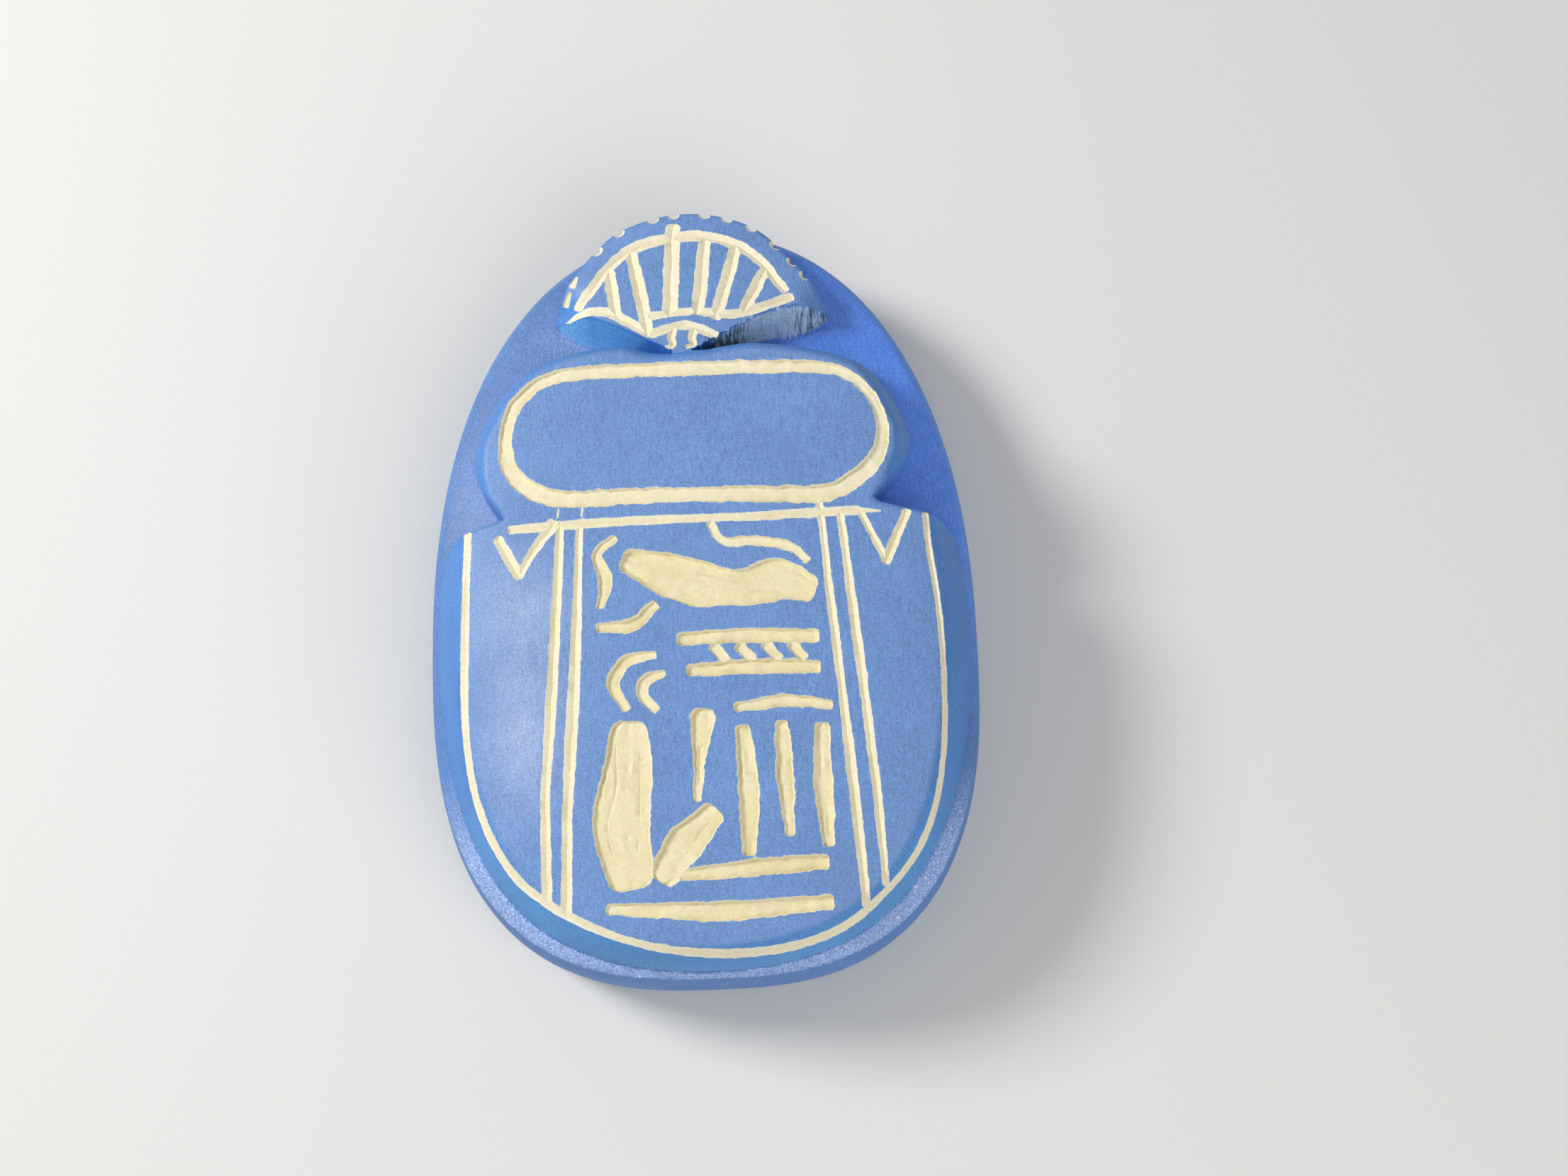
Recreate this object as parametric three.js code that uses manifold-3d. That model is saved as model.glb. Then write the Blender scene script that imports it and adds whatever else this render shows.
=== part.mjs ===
/*
 * A large beetle amulet carved from one block of soft, pale stone and coated blue.
 * Every line on its back is cut through the coat into the cream stone.
 *
 * Millimetres, +Z up. The head points along +Y and the flat underside lies on z = 0.
 * It is drawn about a point 1 mm ahead of its middle, and then moved so that the origin is the
 * middle of the underside.
 */
import * as THREE from "three";
import { mergeVertices } from "three/addons/utils/BufferGeometryUtils.js";
import Module from "manifold-3d";

const wasm = await Module();
wasm.setup();

// Base slab: two half superellipses, joined at the waist, with a rounded side and sloping flanks.
const MIDDLE_Y = -1;
const BASE_HALF_WIDTH = 33.4;
const BASE_WAIST_Y = -7.2;
const BASE_TAIL_REACH = 41.4;
const BASE_HEAD_REACH = 53.8;
const BASE_TAIL_POWER = 2.75;
const BASE_HEAD_POWER = 2.24;
// Share of the outline and height, from the foot up over the rounded side and in along the flanks.
const BASE_PROFILE = [
  [0.96, 0], [0.984, 0.8], [0.997, 3], [1, 7], [0.996, 11.4], [0.985, 13], [0.965, 13.8],
  [0.87, 15.2], [0.75, 16.8], [0.55, 18.6],
];

// Back: the wing cases and the shield behind the head, one raised surface with a wedge cut in on either side.
const WING_HALF_WIDTH = 32.2;
const WING_WAIST_Y = -9;
const WING_TAIL_Y = -47;
const CROWN_Z = 25;
const CROWN_Y = 5;
const CROWN_SAG = 0.9;
const CROWN_TAIL_SAG = 2.9;
const CROWN_ROLL = 1;
const CROWN_ROLL_POWER = 8;
const BURIED_Z = 8;
// Width and fall of the rounded edge of the back, which is broad along the wings and slight at the tail.
const WING_EDGE = { width: 4.5, fall: 7.4 };
const TAIL_EDGE = { width: 2, fall: 4.6 };
const SHIELD_EDGE = { width: 3.2, fall: 6.8 };
const EDGE_POWER = 1.7;

// The crown follows a superellipse about the margin line of the wing cases.
const MARGIN_HALF_WIDTH = 28.1;
const MARGIN_WAIST_Y = -12;
const MARGIN_REACH = 33.6;
const MARGIN_POWER = 2.6;

// Head plate: a half-moon, toothed along its front edge and scooped out behind its rear corners.
const PLATE_HALF_WIDTH = 17;
const PLATE_Y = 31.6;
const PLATE_FRONT = [
  [16.6, 31.9], [15.9, 33.9], [14.4, 36.3], [11.8, 39.6], [8.4, 43.2], [4.2, 45.2], [-0.8, 45.9], [-5.4, 45.2],
  [-9.6, 43.4], [-12.6, 40.4], [-15.1, 37.2], [-16.7, 34.2], [-17.2, 32.5],
];
// Rear edge, left to right: the foot of the left scoop, a tongue under the shield, the foot of the right scoop.
const PLATE_REAR = [
  [-14.9, 30.6], [-12.3, 29.3], [-9.7, 28.6], [-7.1, 28], [-4.6, 27.4], [-2.6, 25], [0.9, 25], [2.9, 27.4],
  [5.6, 28.4], [8.7, 29], [11.9, 29.2], [14, 29.9],
];
const PLATE_Z = 21.4;
const PLATE_FALL = 0.2;
const PLATE_SIDE_DROP = 1.8;
const PLATE_CORNER_DROP = 1.9;

// Cut lines: widths at the surface and depths.
const CARTOUCHE_WIDTHS = [2.2, 1.7, 1.3, 1.5, 1.8, 1.7, 1.7, 1.5, 1.7, 2.1, 2.1, 1.8, 2];
const CARTOUCHE_DEPTH = 0.6;
const FINE_WIDTH = 1.05;
const FINE_DEPTH = 0.45;
const FAN_WIDTH = 1.3;
const FAN_DEPTH = 0.55;
const MARK_DEPTH = 0.75;
const FLOOR_SHARE = 0.6;
const CUTTER_RISE = 1.2;

const TAU = Math.PI * 2;

/** Distance from the middle of a superellipse, as a share of its outline. */
function superRadius(x, y, halfX, halfY, power) {
  return (Math.abs(x / halfX) ** power + Math.abs(y / halfY) ** power) ** (1 / power);
}

/** Point on a superellipse at an angle from +X. */
function superPoint(angle, halfX, halfY, power) {
  const c = Math.cos(angle);
  const s = Math.sin(angle);
  return new THREE.Vector2(
    halfX * Math.sign(c) * Math.abs(c) ** (2 / power),
    halfY * Math.sign(s) * Math.abs(s) ** (2 / power),
  );
}

/** Height of the wing cases and the shield: nearly flat, rolling off near the margin, lower at the tail. */
function crownZ(x, y) {
  const reach = y < CROWN_Y ? CROWN_Y - MARGIN_WAIST_Y + MARGIN_REACH : 60;
  const r = superRadius(x, y - CROWN_Y, MARGIN_HALF_WIDTH, reach, MARGIN_POWER);
  const tailward = Math.max(0, CROWN_Y - y) / reach;
  return CROWN_Z - CROWN_SAG * r ** 2 - CROWN_ROLL * r ** CROWN_ROLL_POWER - CROWN_TAIL_SAG * tailward ** 2;
}

/** Height of the head plate, which falls towards its front and its corners. */
function plateZ(x, y) {
  const corner = THREE.MathUtils.smoothstep(Math.abs(x), 13, 17.4) * (1 - THREE.MathUtils.smoothstep(y, 33, 37));
  const side = PLATE_SIDE_DROP * (x / PLATE_HALF_WIDTH) ** 2;
  return PLATE_Z - PLATE_FALL * (y - PLATE_Y) - side - PLATE_CORNER_DROP * corner;
}

/** A closed solid from rings of equal length, lowest first, each running anticlockwise seen from above. */
function stack(rings) {
  const count = rings[0].length;
  const positions = rings.flat().flatMap((p) => [p.x, p.y, p.z]);
  const middle = (ring) =>
    ring.reduce((sum, p) => sum.add(p), new THREE.Vector3()).divideScalar(count);
  for (const ring of [rings[0], rings.at(-1)]) positions.push(...middle(ring).toArray());
  const bottom = rings.length * count;
  const top = bottom + 1;
  const last = bottom - count;
  const index = [];
  for (let i = 0; i < count; i++) {
    const j = (i + 1) % count;
    for (let a = 0; a < last; a += count) {
      index.push(a + i, a + j, a + count + j, a + i, a + count + j, a + count + i);
    }
    index.push(bottom, j, i, top, last + i, last + j);
  }
  const geometry = new THREE.BufferGeometry();
  geometry.setAttribute("position", new THREE.Float32BufferAttribute(positions, 3));
  geometry.setIndex(index);
  return geometry;
}

/** The same shape as a solid that can be joined and cut. */
function solid(geometry) {
  const bare = geometry.clone();
  bare.deleteAttribute("normal");
  bare.deleteAttribute("uv");
  const merged = mergeVertices(bare, 1e-4);
  const mesh = new wasm.Mesh({
    numProp: 3,
    vertProperties: new Float32Array(merged.attributes.position.array),
    triVerts: new Uint32Array(merged.index.array),
  });
  return new wasm.Manifold(mesh);
}

/** The geometry of a finished solid. */
function geometryOf(body) {
  const { vertProperties, triVerts } = body.getMesh();
  const geometry = new THREE.BufferGeometry();
  geometry.setAttribute("position", new THREE.BufferAttribute(vertProperties, 3));
  geometry.setIndex(new THREE.BufferAttribute(triVerts, 1));
  return geometry;
}

/** Base slab: flat below, rounded at the side, sloping up to the middle above. */
function base() {
  const outline = [];
  const sides = 64;
  for (let i = 0; i < sides; i++) {
    const angle = (i / sides) * TAU;
    const head = Math.sin(angle) >= 0;
    const reach = head ? BASE_HEAD_REACH : BASE_TAIL_REACH;
    outline.push(superPoint(angle, BASE_HALF_WIDTH, reach, head ? BASE_HEAD_POWER : BASE_TAIL_POWER));
  }
  const ring = (share, z) =>
    outline.map((p) => new THREE.Vector3(p.x * share, BASE_WAIST_Y + p.y * share, z));
  return stack(BASE_PROFILE.map(([share, z]) => ring(share, z)));
}

/** Outline of the back: round tail, slanting shoulders, a wedge, and the two-lobed shield. */
function backOutline() {
  const bow = 0.68; // handle length that gives the fuller than round tail
  const handleY = WING_WAIST_Y - bow * (WING_WAIST_Y - WING_TAIL_Y);
  const shape = new THREE.Shape();
  shape.moveTo(0, WING_TAIL_Y);
  shape.bezierCurveTo(bow * WING_HALF_WIDTH, WING_TAIL_Y, WING_HALF_WIDTH, handleY, WING_HALF_WIDTH, WING_WAIST_Y);
  shape.bezierCurveTo(WING_HALF_WIDTH, -4, 31.8, -0.5, 30.9, 3.5);
  shape.lineTo(20.9, 6.4);
  shape.splineThru([
    [24.7, 11.6], [26, 16], [24.2, 21], [20.4, 25.2], [14.5, 27.3], [7.5, 28.3], [2.6, 27.6], [-1.8, 25.9],
    [-4.6, 27.1], [-8.5, 28.4], [-15, 27.7], [-20.6, 25.5], [-25, 21], [-27, 15.5], [-26, 10.5], [-22.8, 5.4],
  ].map(([x, y]) => new THREE.Vector2(x, y)));
  shape.lineTo(-31.2, 2.9);
  shape.bezierCurveTo(-32, -1, -WING_HALF_WIDTH, -5, -WING_HALF_WIDTH, WING_WAIST_Y);
  shape.bezierCurveTo(-WING_HALF_WIDTH, handleY, -bow * WING_HALF_WIDTH, WING_TAIL_Y, 0, WING_TAIL_Y);
  return shape.getSpacedPoints(90).slice(0, -1);
}

/** Back: steep walls that round over into the crowned top. */
function back() {
  const outline = backOutline();
  const spine = outline.map((p) => new THREE.Vector2(0, THREE.MathUtils.clamp(p.y, -14, 15)));
  const edge = outline.map((p) => {
    if (p.y > 6) return SHIELD_EDGE;
    const tailward = Math.max(0, (WING_WAIST_Y - p.y) / (WING_WAIST_Y - WING_TAIL_Y)) ** 3;
    return {
      width: THREE.MathUtils.lerp(WING_EDGE.width, TAIL_EDGE.width, tailward),
      fall: THREE.MathUtils.lerp(WING_EDGE.fall, TAIL_EDGE.fall, tailward),
    };
  });
  const inset = (i, distance) => {
    const reach = outline[i].distanceTo(spine[i]);
    return outline[i].clone().lerp(spine[i], Math.min(distance / reach, 0.9));
  };
  const rings = [outline.map((p) => new THREE.Vector3(p.x, p.y, BURIED_Z))];
  for (const share of [0, 0.3, 0.62, 1]) {
    rings.push(outline.map((_, i) => {
      const p = inset(i, edge[i].width * share);
      return new THREE.Vector3(p.x, p.y, crownZ(p.x, p.y) - edge[i].fall * (1 - share) ** EDGE_POWER);
    }));
  }
  for (const share of [0.35, 0.65, 0.9]) {
    rings.push(outline.map((_, i) => {
      const p = inset(i, edge[i].width).lerp(spine[i], share);
      return new THREE.Vector3(p.x, p.y, crownZ(p.x, p.y));
    }));
  }
  return stack(rings);
}

/** Front edge of the head plate, from its right corner round to its left. */
function plateFront() {
  return new THREE.SplineCurve(PLATE_FRONT.map(([x, y]) => new THREE.Vector2(x, y)));
}

/** Head plate, before the scoops and the teeth are cut. */
function headPlate() {
  const front = plateFront().getSpacedPoints(26);
  const outline = [...front, ...PLATE_REAR.map(([x, y]) => new THREE.Vector2(x, y))];
  const middle = new THREE.Vector2(0, PLATE_Y);
  const ring = (share, z) =>
    outline.map((p) => {
      const q = p.clone().lerp(middle, 1 - share);
      return new THREE.Vector3(q.x, q.y, z(q));
    });
  return stack([
    ring(0.97, () => BURIED_Z),
    ring(1, (q) => plateZ(q.x, q.y) - 1.2),
    ring(0.985, (q) => plateZ(q.x, q.y) - 0.3),
    ...[0.95, 0.7, 0.4].map((share) => ring(share, (q) => plateZ(q.x, q.y))),
  ]);
}

/** An ellipsoid to scoop out with: its middle, its three radii and its turn about the upright. */
function scoop([x, y, z], [rx, ry, rz], turn) {
  const geometry = new THREE.SphereGeometry(1, 20, 12);
  geometry.applyMatrix4(
    new THREE.Matrix4().compose(
      new THREE.Vector3(x, y, z),
      new THREE.Quaternion().setFromAxisAngle(new THREE.Vector3(0, 0, 1), turn),
      new THREE.Vector3(rx, ry, rz),
    ),
  );
  return solid(geometry);
}

/**
 * The cutter for one stroke, which follows the surface along a path. Its section is a V, or has a
 * floor that is a share of its width. The widths at the surface are spread along the path.
 */
function stroke(path, surface, { widths = [FINE_WIDTH], depth = FINE_DEPTH, floor = 0, closed = false } = {}) {
  const last = path.length - 1;
  const rings = path.map((p, i) => {
    const before = path[closed ? (i + last) % path.length : Math.max(i - 1, 0)];
    const after = path[closed ? (i + 1) % path.length : Math.min(i + 1, last)];
    const side = new THREE.Vector2(before.y - after.y, after.x - before.x).normalize();
    const along = (i / last) * (widths.length - 1);
    const from = Math.min(Math.floor(along), widths.length - 2);
    const width = widths.length > 1
      ? THREE.MathUtils.lerp(widths[from], widths[from + 1], along - from)
      : widths[0];
    const deep = Math.min(depth, width * 0.75);
    const slope = (width * (1 - floor)) / 2 / deep;
    const corner = (half, up) => {
      const q = p.clone().addScaledVector(side, half);
      return new THREE.Vector3(q.x, q.y, surface(q.x, q.y) + up);
    };
    const wide = width / 2 + slope * CUTTER_RISE;
    const narrow = (width * floor) / 2;
    const bottom = floor > 0 ? [corner(narrow, -deep), corner(-narrow, -deep)] : [corner(0, -deep)];
    return [corner(-wide, CUTTER_RISE), corner(wide, CUTTER_RISE), ...bottom];
  });
  const positions = rings.flat().flatMap((p) => [p.x, p.y, p.z]);
  const index = [];
  const corners = rings[0].length;
  const steps = closed ? path.length : last;
  for (let i = 0; i < steps; i++) {
    const a = i * corners;
    const b = ((i + 1) % path.length) * corners;
    for (let k = 0; k < corners; k++) {
      const n = (k + 1) % corners;
      index.push(a + k, b + n, a + n, a + k, b + k, b + n);
    }
  }
  if (!closed) {
    const end = last * corners;
    for (let k = 1; k < corners - 1; k++) index.push(0, k, k + 1, end, end + k + 1, end + k);
  }
  const geometry = new THREE.BufferGeometry();
  geometry.setAttribute("position", new THREE.Float32BufferAttribute(positions, 3));
  geometry.setIndex(index);
  return solid(geometry);
}

/** A smooth path through a few places, in even steps. */
function curve(places, step = 3) {
  const spline = new THREE.SplineCurve(places.map(([x, y]) => new THREE.Vector2(x, y)));
  return spline.getSpacedPoints(Math.max(2, Math.round(spline.getLength() / step)));
}

/** A path of straight runs. */
function straight(places, step = 6) {
  const path = new THREE.CurvePath();
  const points = places.map(([x, y]) => new THREE.Vector2(x, y));
  for (let i = 1; i < points.length; i++) path.add(new THREE.LineCurve(points[i - 1], points[i]));
  const ends = [points[0]];
  for (const line of path.curves) {
    const parts = Math.max(1, Math.round(line.getLength() / step));
    ends.push(...line.getPoints(parts).slice(1));
  }
  return ends;
}

/** Cuts of the shield and the wing cases: cartouche, margin, shoulder line, panel lines, notches. */
function backLines() {
  const cartouche = [
    [14.2, 6.8], [18.1, 8.3], [21.1, 11.2], [22.1, 15.1], [20.9, 18.9], [18.1, 21.6], [14, 22.7], [6.2, 22.9],
    [-6.2, 22.9], [-14.4, 22.8], [-18.3, 21.9], [-21.2, 19.3], [-22.5, 15.5], [-22, 11.3], [-18.9, 8.3],
    [-14.6, 7.3], [-6.5, 7.3], [5.9, 7.1],
  ];
  const margin = [
    [-27.1, 3.8], [-27.3, -3], [-27.6, -14], [-27.5, -20], [-26.7, -26.2], [-25, -31.3], [-22.2, -36],
    [-18.2, -39.5], [-13, -42.4], [-7.7, -44.3], [-2, -45.3], [3.9, -45.5], [9.8, -44.8], [15.3, -42.8],
    [20, -39.2], [23.8, -34.8], [26.2, -29.5], [27.5, -22.5], [27.8, -14], [27.5, -6], [26.9, -0.6], [26.6, 4.1],
  ];

  const lines = [
    straight([[-21.9, 3.9], [20.4, 4.6]]),
    straight([[-23.5, 2.9], [-21, -1.7], [-17, 4.4]]),
    straight([[18.6, 4.8], [21.7, -1.4], [24.3, 4.4]]),
    straight([[-16.1, 4.2], [-17.1, -11.9], [-18.4, -28], [-18.5, -39.3]]),
    straight([[-13.9, 4.2], [-14.6, -12.5], [-15.9, -29.3], [-16.3, -41]]),
    straight([[14.2, 6.3], [15, -5.6], [16.4, -23.3], [17.8, -41.6]]),
    straight([[16.6, 4.4], [18, -12], [19.4, -28.3], [20.1, -39.4]]),
  ];
  return [
    stroke(curve([...cartouche, cartouche[0]]).slice(0, -1), crownZ, {
      widths: CARTOUCHE_WIDTHS, depth: CARTOUCHE_DEPTH, floor: FLOOR_SHARE, closed: true,
    }),
    stroke(curve(margin), crownZ),
    ...lines.map((line) => stroke(line, crownZ)),
  ];
}

/** Filling of the middle panel: rows of plain strokes that spell nothing. */
function panelMarks() {
  const marks = [
    [[[-11.6, -5.8], [-11, -2.6], [-11.9, 0.4], [-9.9, 2.2]], [0.9, 1.7, 1.2, 1]],
    [[[-8, -0.6], [-4.6, -2], [0, -3.6], [4.6, -4.2], [9, -3.4], [12.2, -4.4]], [2.4, 5, 5.6, 4.2, 5.4, 3.4]],
    [[[2.4, 3.4], [4, 1.6], [8.6, 1], [11.6, -0.4]], [0.8, 1.2, 1.2, 0.9]],
    [[[-11.8, -8.3], [-8, -8.2], [-5.4, -6]], [1, 1.7, 1]],
    [[[-2.4, -10], [5, -9.9], [13, -10.2]], [1.4, 1.8, 1.5]],
    [[[-1.4, -13.7], [6, -13.5], [13, -13.8]], [1.4, 1.9, 1.5]],
    [[[3.6, -11], [3.8, -12.6]], [2.6]],
    [[[8.8, -11], [9, -12.6]], [2.2]],
    [[[-5.6, -11.8], [-8.8, -12.4], [-10.3, -15], [-8.9, -17.8]], [0.9, 1.6, 1.6, 1]],
    [[[-4.6, -14], [-6.5, -14.6], [-7, -16.2], [-5.6, -18.1]], [0.8, 1.4, 1.4, 0.9]],
    [[[-8.8, -20.8], [-9, -25], [-9.8, -31], [-9, -36.4]], [4.2, 6.2, 6.6, 5.4]],
    [[[-4.9, -36.6], [-3, -33.8], [0.4, -30.4]], [3.2, 4.4, 2.6]],
    [[[-0.2, -19.2], [-0.7, -24], [-1.1, -28.4]], [3, 1.3, 0.9]],
    [[[3.8, -18.2], [9, -17.6], [14.4, -18.2]], [1, 1.6, 1]],
    [[[4.3, -20.8], [4.8, -27], [4.6, -34.4]], [1.5, 2.5, 1.5]],
    [[[8.8, -20.4], [9, -26], [9.3, -32.6]], [1.4, 2.1, 1]],
    [[[13.4, -20.8], [13.3, -27], [13.6, -33.8]], [1.5, 2.3, 1.2]],
    [[[-3, -36.9], [5, -36.3], [13, -35.9]], [1.3, 2, 1.7]],
    [[[-11.4, -40.3], [1, -41], [13.4, -40.4]], [1.1, 2.3, 1.6]],
  ];
  return marks.map(([places, widths]) =>
    stroke(curve(places, 4.5), crownZ, { widths, depth: MARK_DEPTH, floor: FLOOR_SHARE }));
}

/** Cuts of the head plate: the fan with its bars, the scroll, and the teeth along the front. */
function plateLines() {
  const arcs = [
    [[-14, 33.6], [-8.6, 40.2], [-2.6, 42.3], [3.1, 42], [7.6, 39.6], [11.2, 34.6]],
    [[-16.4, 31.9], [-11, 32.3], [-5.5, 28.9]],
    [[-5, 31.2], [0, 31.6], [5.4, 31.2], [11.9, 33.5]],
    [[-5.1, 28.7], [-1, 29.7], [2.9, 28]],
  ];
  const bars = [
    [[-10.2, 37.8], [-9.4, 31.9], 1.2], [[-7.4, 40.3], [-5.5, 28.9], 1.3], [[-2.3, 43.7], [-2.8, 31.8], 1.7],
    [[1.6, 40.5], [0.6, 31.6], 1.4], [[5.4, 39.7], [2.8, 30.8], 1.4], [[9, 37.4], [6.3, 31.9], 1.3],
    [[-2.6, 28.6], [-2.4, 26.8], 1.1], [[0, 28.5], [-0.3, 26.8], 1.1],
  ];
  const cuts = arcs.map((places) => stroke(curve(places), plateZ, { widths: [FAN_WIDTH * 0.85], depth: FAN_DEPTH }));
  for (const [from, to, width] of bars) {
    cuts.push(stroke(straight([from, to], 4), plateZ, { widths: [width], depth: FAN_DEPTH }));
  }
  const teeth = 12;
  const front = plateFront();
  for (let i = 0; i < teeth; i++) {
    const share = THREE.MathUtils.lerp(0.17, 0.85, i / (teeth - 1));
    const rim = front.getPointAt(share);
    const tangent = front.getTangentAt(share);
    const out = new THREE.Vector2(tangent.y, -tangent.x);
    const at = (distance) => rim.clone().addScaledVector(out, distance);
    cuts.push(stroke([at(-0.7), at(0.4)], plateZ, { widths: [1.1, 1.6], depth: 1.1 }));
  }
  return cuts;
}

const cuts = [
  scoop([-10.9, 27.4, 21.8], [7, 4.1, 4.4], -0.28),
  scoop([9.6, 28, 21.6], [7.6, 4.1, 4.3], 0.25),
  ...backLines(),
  ...panelMarks(),
  ...plateLines(),
];

let body = solid(base()).add(solid(headPlate()));
const [leftScoop, rightScoop, ...lines] = cuts;
body = body.subtract(leftScoop).subtract(rightScoop).add(solid(back()));
for (const line of lines) body = body.subtract(line);
body = body.translate([0, -MIDDLE_Y, 0]);

const scarab = new THREE.Mesh(
  geometryOf(body),
  new THREE.MeshStandardMaterial({ color: 0x7496ce, roughness: 0.62, metalness: 0 }),
);
scarab.name = "scarab";

const group = new THREE.Group();
group.add(scarab);

export default group;
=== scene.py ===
"""
A large beetle amulet carved from one block of soft cream stone and coated blue.

It lies on its flat underside with its head along +Y. Its lines are cut through the coat, so they show the
stone. Lengths are millimetres and become metres when a mesh, a light or the camera is made.
"""

import math
import random

import bpy
import numpy as np
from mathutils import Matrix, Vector, noise


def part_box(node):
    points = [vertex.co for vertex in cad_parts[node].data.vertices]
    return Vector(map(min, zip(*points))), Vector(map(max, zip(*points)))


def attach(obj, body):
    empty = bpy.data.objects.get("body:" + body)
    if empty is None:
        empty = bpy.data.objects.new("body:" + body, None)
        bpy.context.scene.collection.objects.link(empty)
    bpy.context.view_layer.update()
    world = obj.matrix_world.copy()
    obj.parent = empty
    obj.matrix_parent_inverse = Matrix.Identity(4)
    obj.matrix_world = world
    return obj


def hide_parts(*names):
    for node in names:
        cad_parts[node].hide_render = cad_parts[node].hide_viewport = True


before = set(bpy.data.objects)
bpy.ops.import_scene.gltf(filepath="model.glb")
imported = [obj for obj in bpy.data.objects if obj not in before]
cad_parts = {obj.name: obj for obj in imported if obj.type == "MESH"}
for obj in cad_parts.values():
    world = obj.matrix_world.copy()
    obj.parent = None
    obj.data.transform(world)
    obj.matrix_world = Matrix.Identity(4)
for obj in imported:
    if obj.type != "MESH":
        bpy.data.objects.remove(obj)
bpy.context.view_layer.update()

MM = 0.001
low, high = (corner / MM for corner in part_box("scarab"))
random.seed(7)

# The carving is drawn about a point 1 mm ahead of its middle, and moved when it is whole.
MIDDLE_Y = -1
CLEARANCE = 0.2  # how far the looks stay inside the solid part's box

# Base slab: two half superellipses, joined at the waist.
BASE_HALF_WIDTH = high.x - CLEARANCE
BASE_WAIST_Y = -7.2
BASE_TAIL_REACH = BASE_WAIST_Y - low.y - MIDDLE_Y - CLEARANCE
BASE_HEAD_REACH = high.y + MIDDLE_Y - BASE_WAIST_Y - CLEARANCE
BASE_TAIL_POWER = 2.75
BASE_HEAD_POWER = 2.24
# Share of the outline and height, from the foot up to the rim.
BASE_SIDE = [
    (0.972, 0), (0.981, 0.35), (0.988, 1), (0.996, 3), (1, 6.5), (0.998, 9.5), (0.992, 11.6), (0.985, 12.6),
]
BASE_TOP_Z = 19.6
BASE_TOP_FALL = 6.35
BASE_TOP_POWER = 2.8
RIM_WIDTH = 1.1
RIM_FALL = 0.75
SHELF_Y = (-24, -36)  # between these the flanks turn into the pitted shelf behind the tail

# Back: the wing cases and the shield, one nearly flat surface that rolls off near the margin.
WING_HALF_WIDTH = 32.2
WING_WAIST_Y = -9
WING_TAIL_Y = -47
TAIL_BOW = 0.68  # handle length of a tail that is fuller than round
RIGHT_FRONT = (30.9, 3.5)  # outer front corners of the wing cases
LEFT_FRONT = (-31.2, 2.9)
RIGHT_WEDGE = (20.6, 6.5)  # notches between the shield and the wing cases
LEFT_WEDGE = (-22.8, 5.4)
SHIELD = [
    RIGHT_WEDGE, (22.8, 9.2), (24.8, 12.2), (25.7, 16), (24, 21), (20.4, 25.2), (14.5, 27.3), (7.5, 28.3),
    (3.4, 27.9), (0.9, 26.9), (-1.8, 25.8), (-4.4, 26.9), (-8.5, 28.4), (-15, 27.7), (-20.6, 25.5), (-25, 21),
    (-27, 15.5), (-26, 10.5), LEFT_WEDGE,
]
CROWN_Z = high.z - 0.1
CROWN_Y = 5
CROWN_HEAD_REACH = 60  # so long that the crown stays level towards the head
CROWN_ARCH = 0.9
CROWN_TAIL_FALL = 2.9
ROLL_POWER = 8  # how sharply the crown rolls off at the margin
ROLL_LIMIT = 1.25
# Width and fall of the rounded edge of the back: on its sides, at its tail, on the shield, and at the wings'
# front and beside the wedges. The edge of the shield grows from one to the other over WEDGE_LENGTH.
WING_EDGE = (4.5, 7.4)
TAIL_EDGE = (2, 4.6)
SHIELD_EDGE = (3.2, 6.8)
FRONT_EDGE = (0.4, 0.4)
EDGE_POWER = 1.7
WEDGE_Y = 8.5
WEDGE_LENGTH = 9

# The crown follows a superellipse about the margin line of the wing cases.
MARGIN_HALF_WIDTH = 28.1
MARGIN_WAIST_Y = -12
MARGIN_REACH = 33.6
MARGIN_POWER = 2.6

# Head plate: a half-moon, scooped out behind both rear corners.
PLATE_HALF_WIDTH = 17
PLATE_Y = 31.6
PLATE_START_Y = 28.5  # the coat ahead of this is the plate's
PLATE_Z = 21.4
PLATE_SLOPE = 0.2
PLATE_ARCH = 1.8
PLATE_RIM = (0.5, 0.35)  # width and fall
LEFT_CORNER_DROP = 3.5
RIGHT_CORNER_DROP = 1.9
CORNER_X = (12.5, 17.4)  # the corners drop between these
CORNER_Y = (37, 33)  # and, from the front back, between these
PLATE_FRONT = [
    (16.6, 31.9), (15.9, 33.9), (14.4, 36.3), (11.8, 39.6), (8.4, 43.2), (4.2, 45.2), (-0.8, 45.9),
    (-5.4, 45.2), (-9.6, 43.4), (-12.6, 40.4), (-15.1, 37.2), (-16.7, 34.2), (-17.2, 32.5),
]
# Each scoop falls from a crest on the plate to a foot on the flank.
LEFT_CREST = [
    (-17.2, 32.6), (-14.4, 32.2), (-11.8, 31.5), (-9.4, 30.3), (-7.2, 29), (-5.6, 28), (-4, 27.1),
    (-2.9, 26.4),
]
LEFT_FOOT = [(-17.2, 32.4), (-15.6, 30.1), (-13, 28.4), (-10, 27.5), (-7, 26.9), (-4, 26.2), (-2.9, 25.4)]
RIGHT_CREST = [
    (0.1, 26.5), (1.4, 27.3), (3.1, 28.3), (5.5, 29.7), (8.2, 31.3), (11.2, 32.3), (14.1, 32.6), (16.6, 32),
]
RIGHT_FOOT = [
    (0.1, 25.5), (1.4, 26.2), (5.6, 27.5), (7.7, 28.2), (9.8, 28.6), (11.9, 28.9), (14, 29.7), (16.6, 31.8),
]
TONGUE = [(-2.6, 24.2), (-0.2, 24.2)]  # the plate's middle, which runs under the shield
TONGUE_X = -1.4
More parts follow.
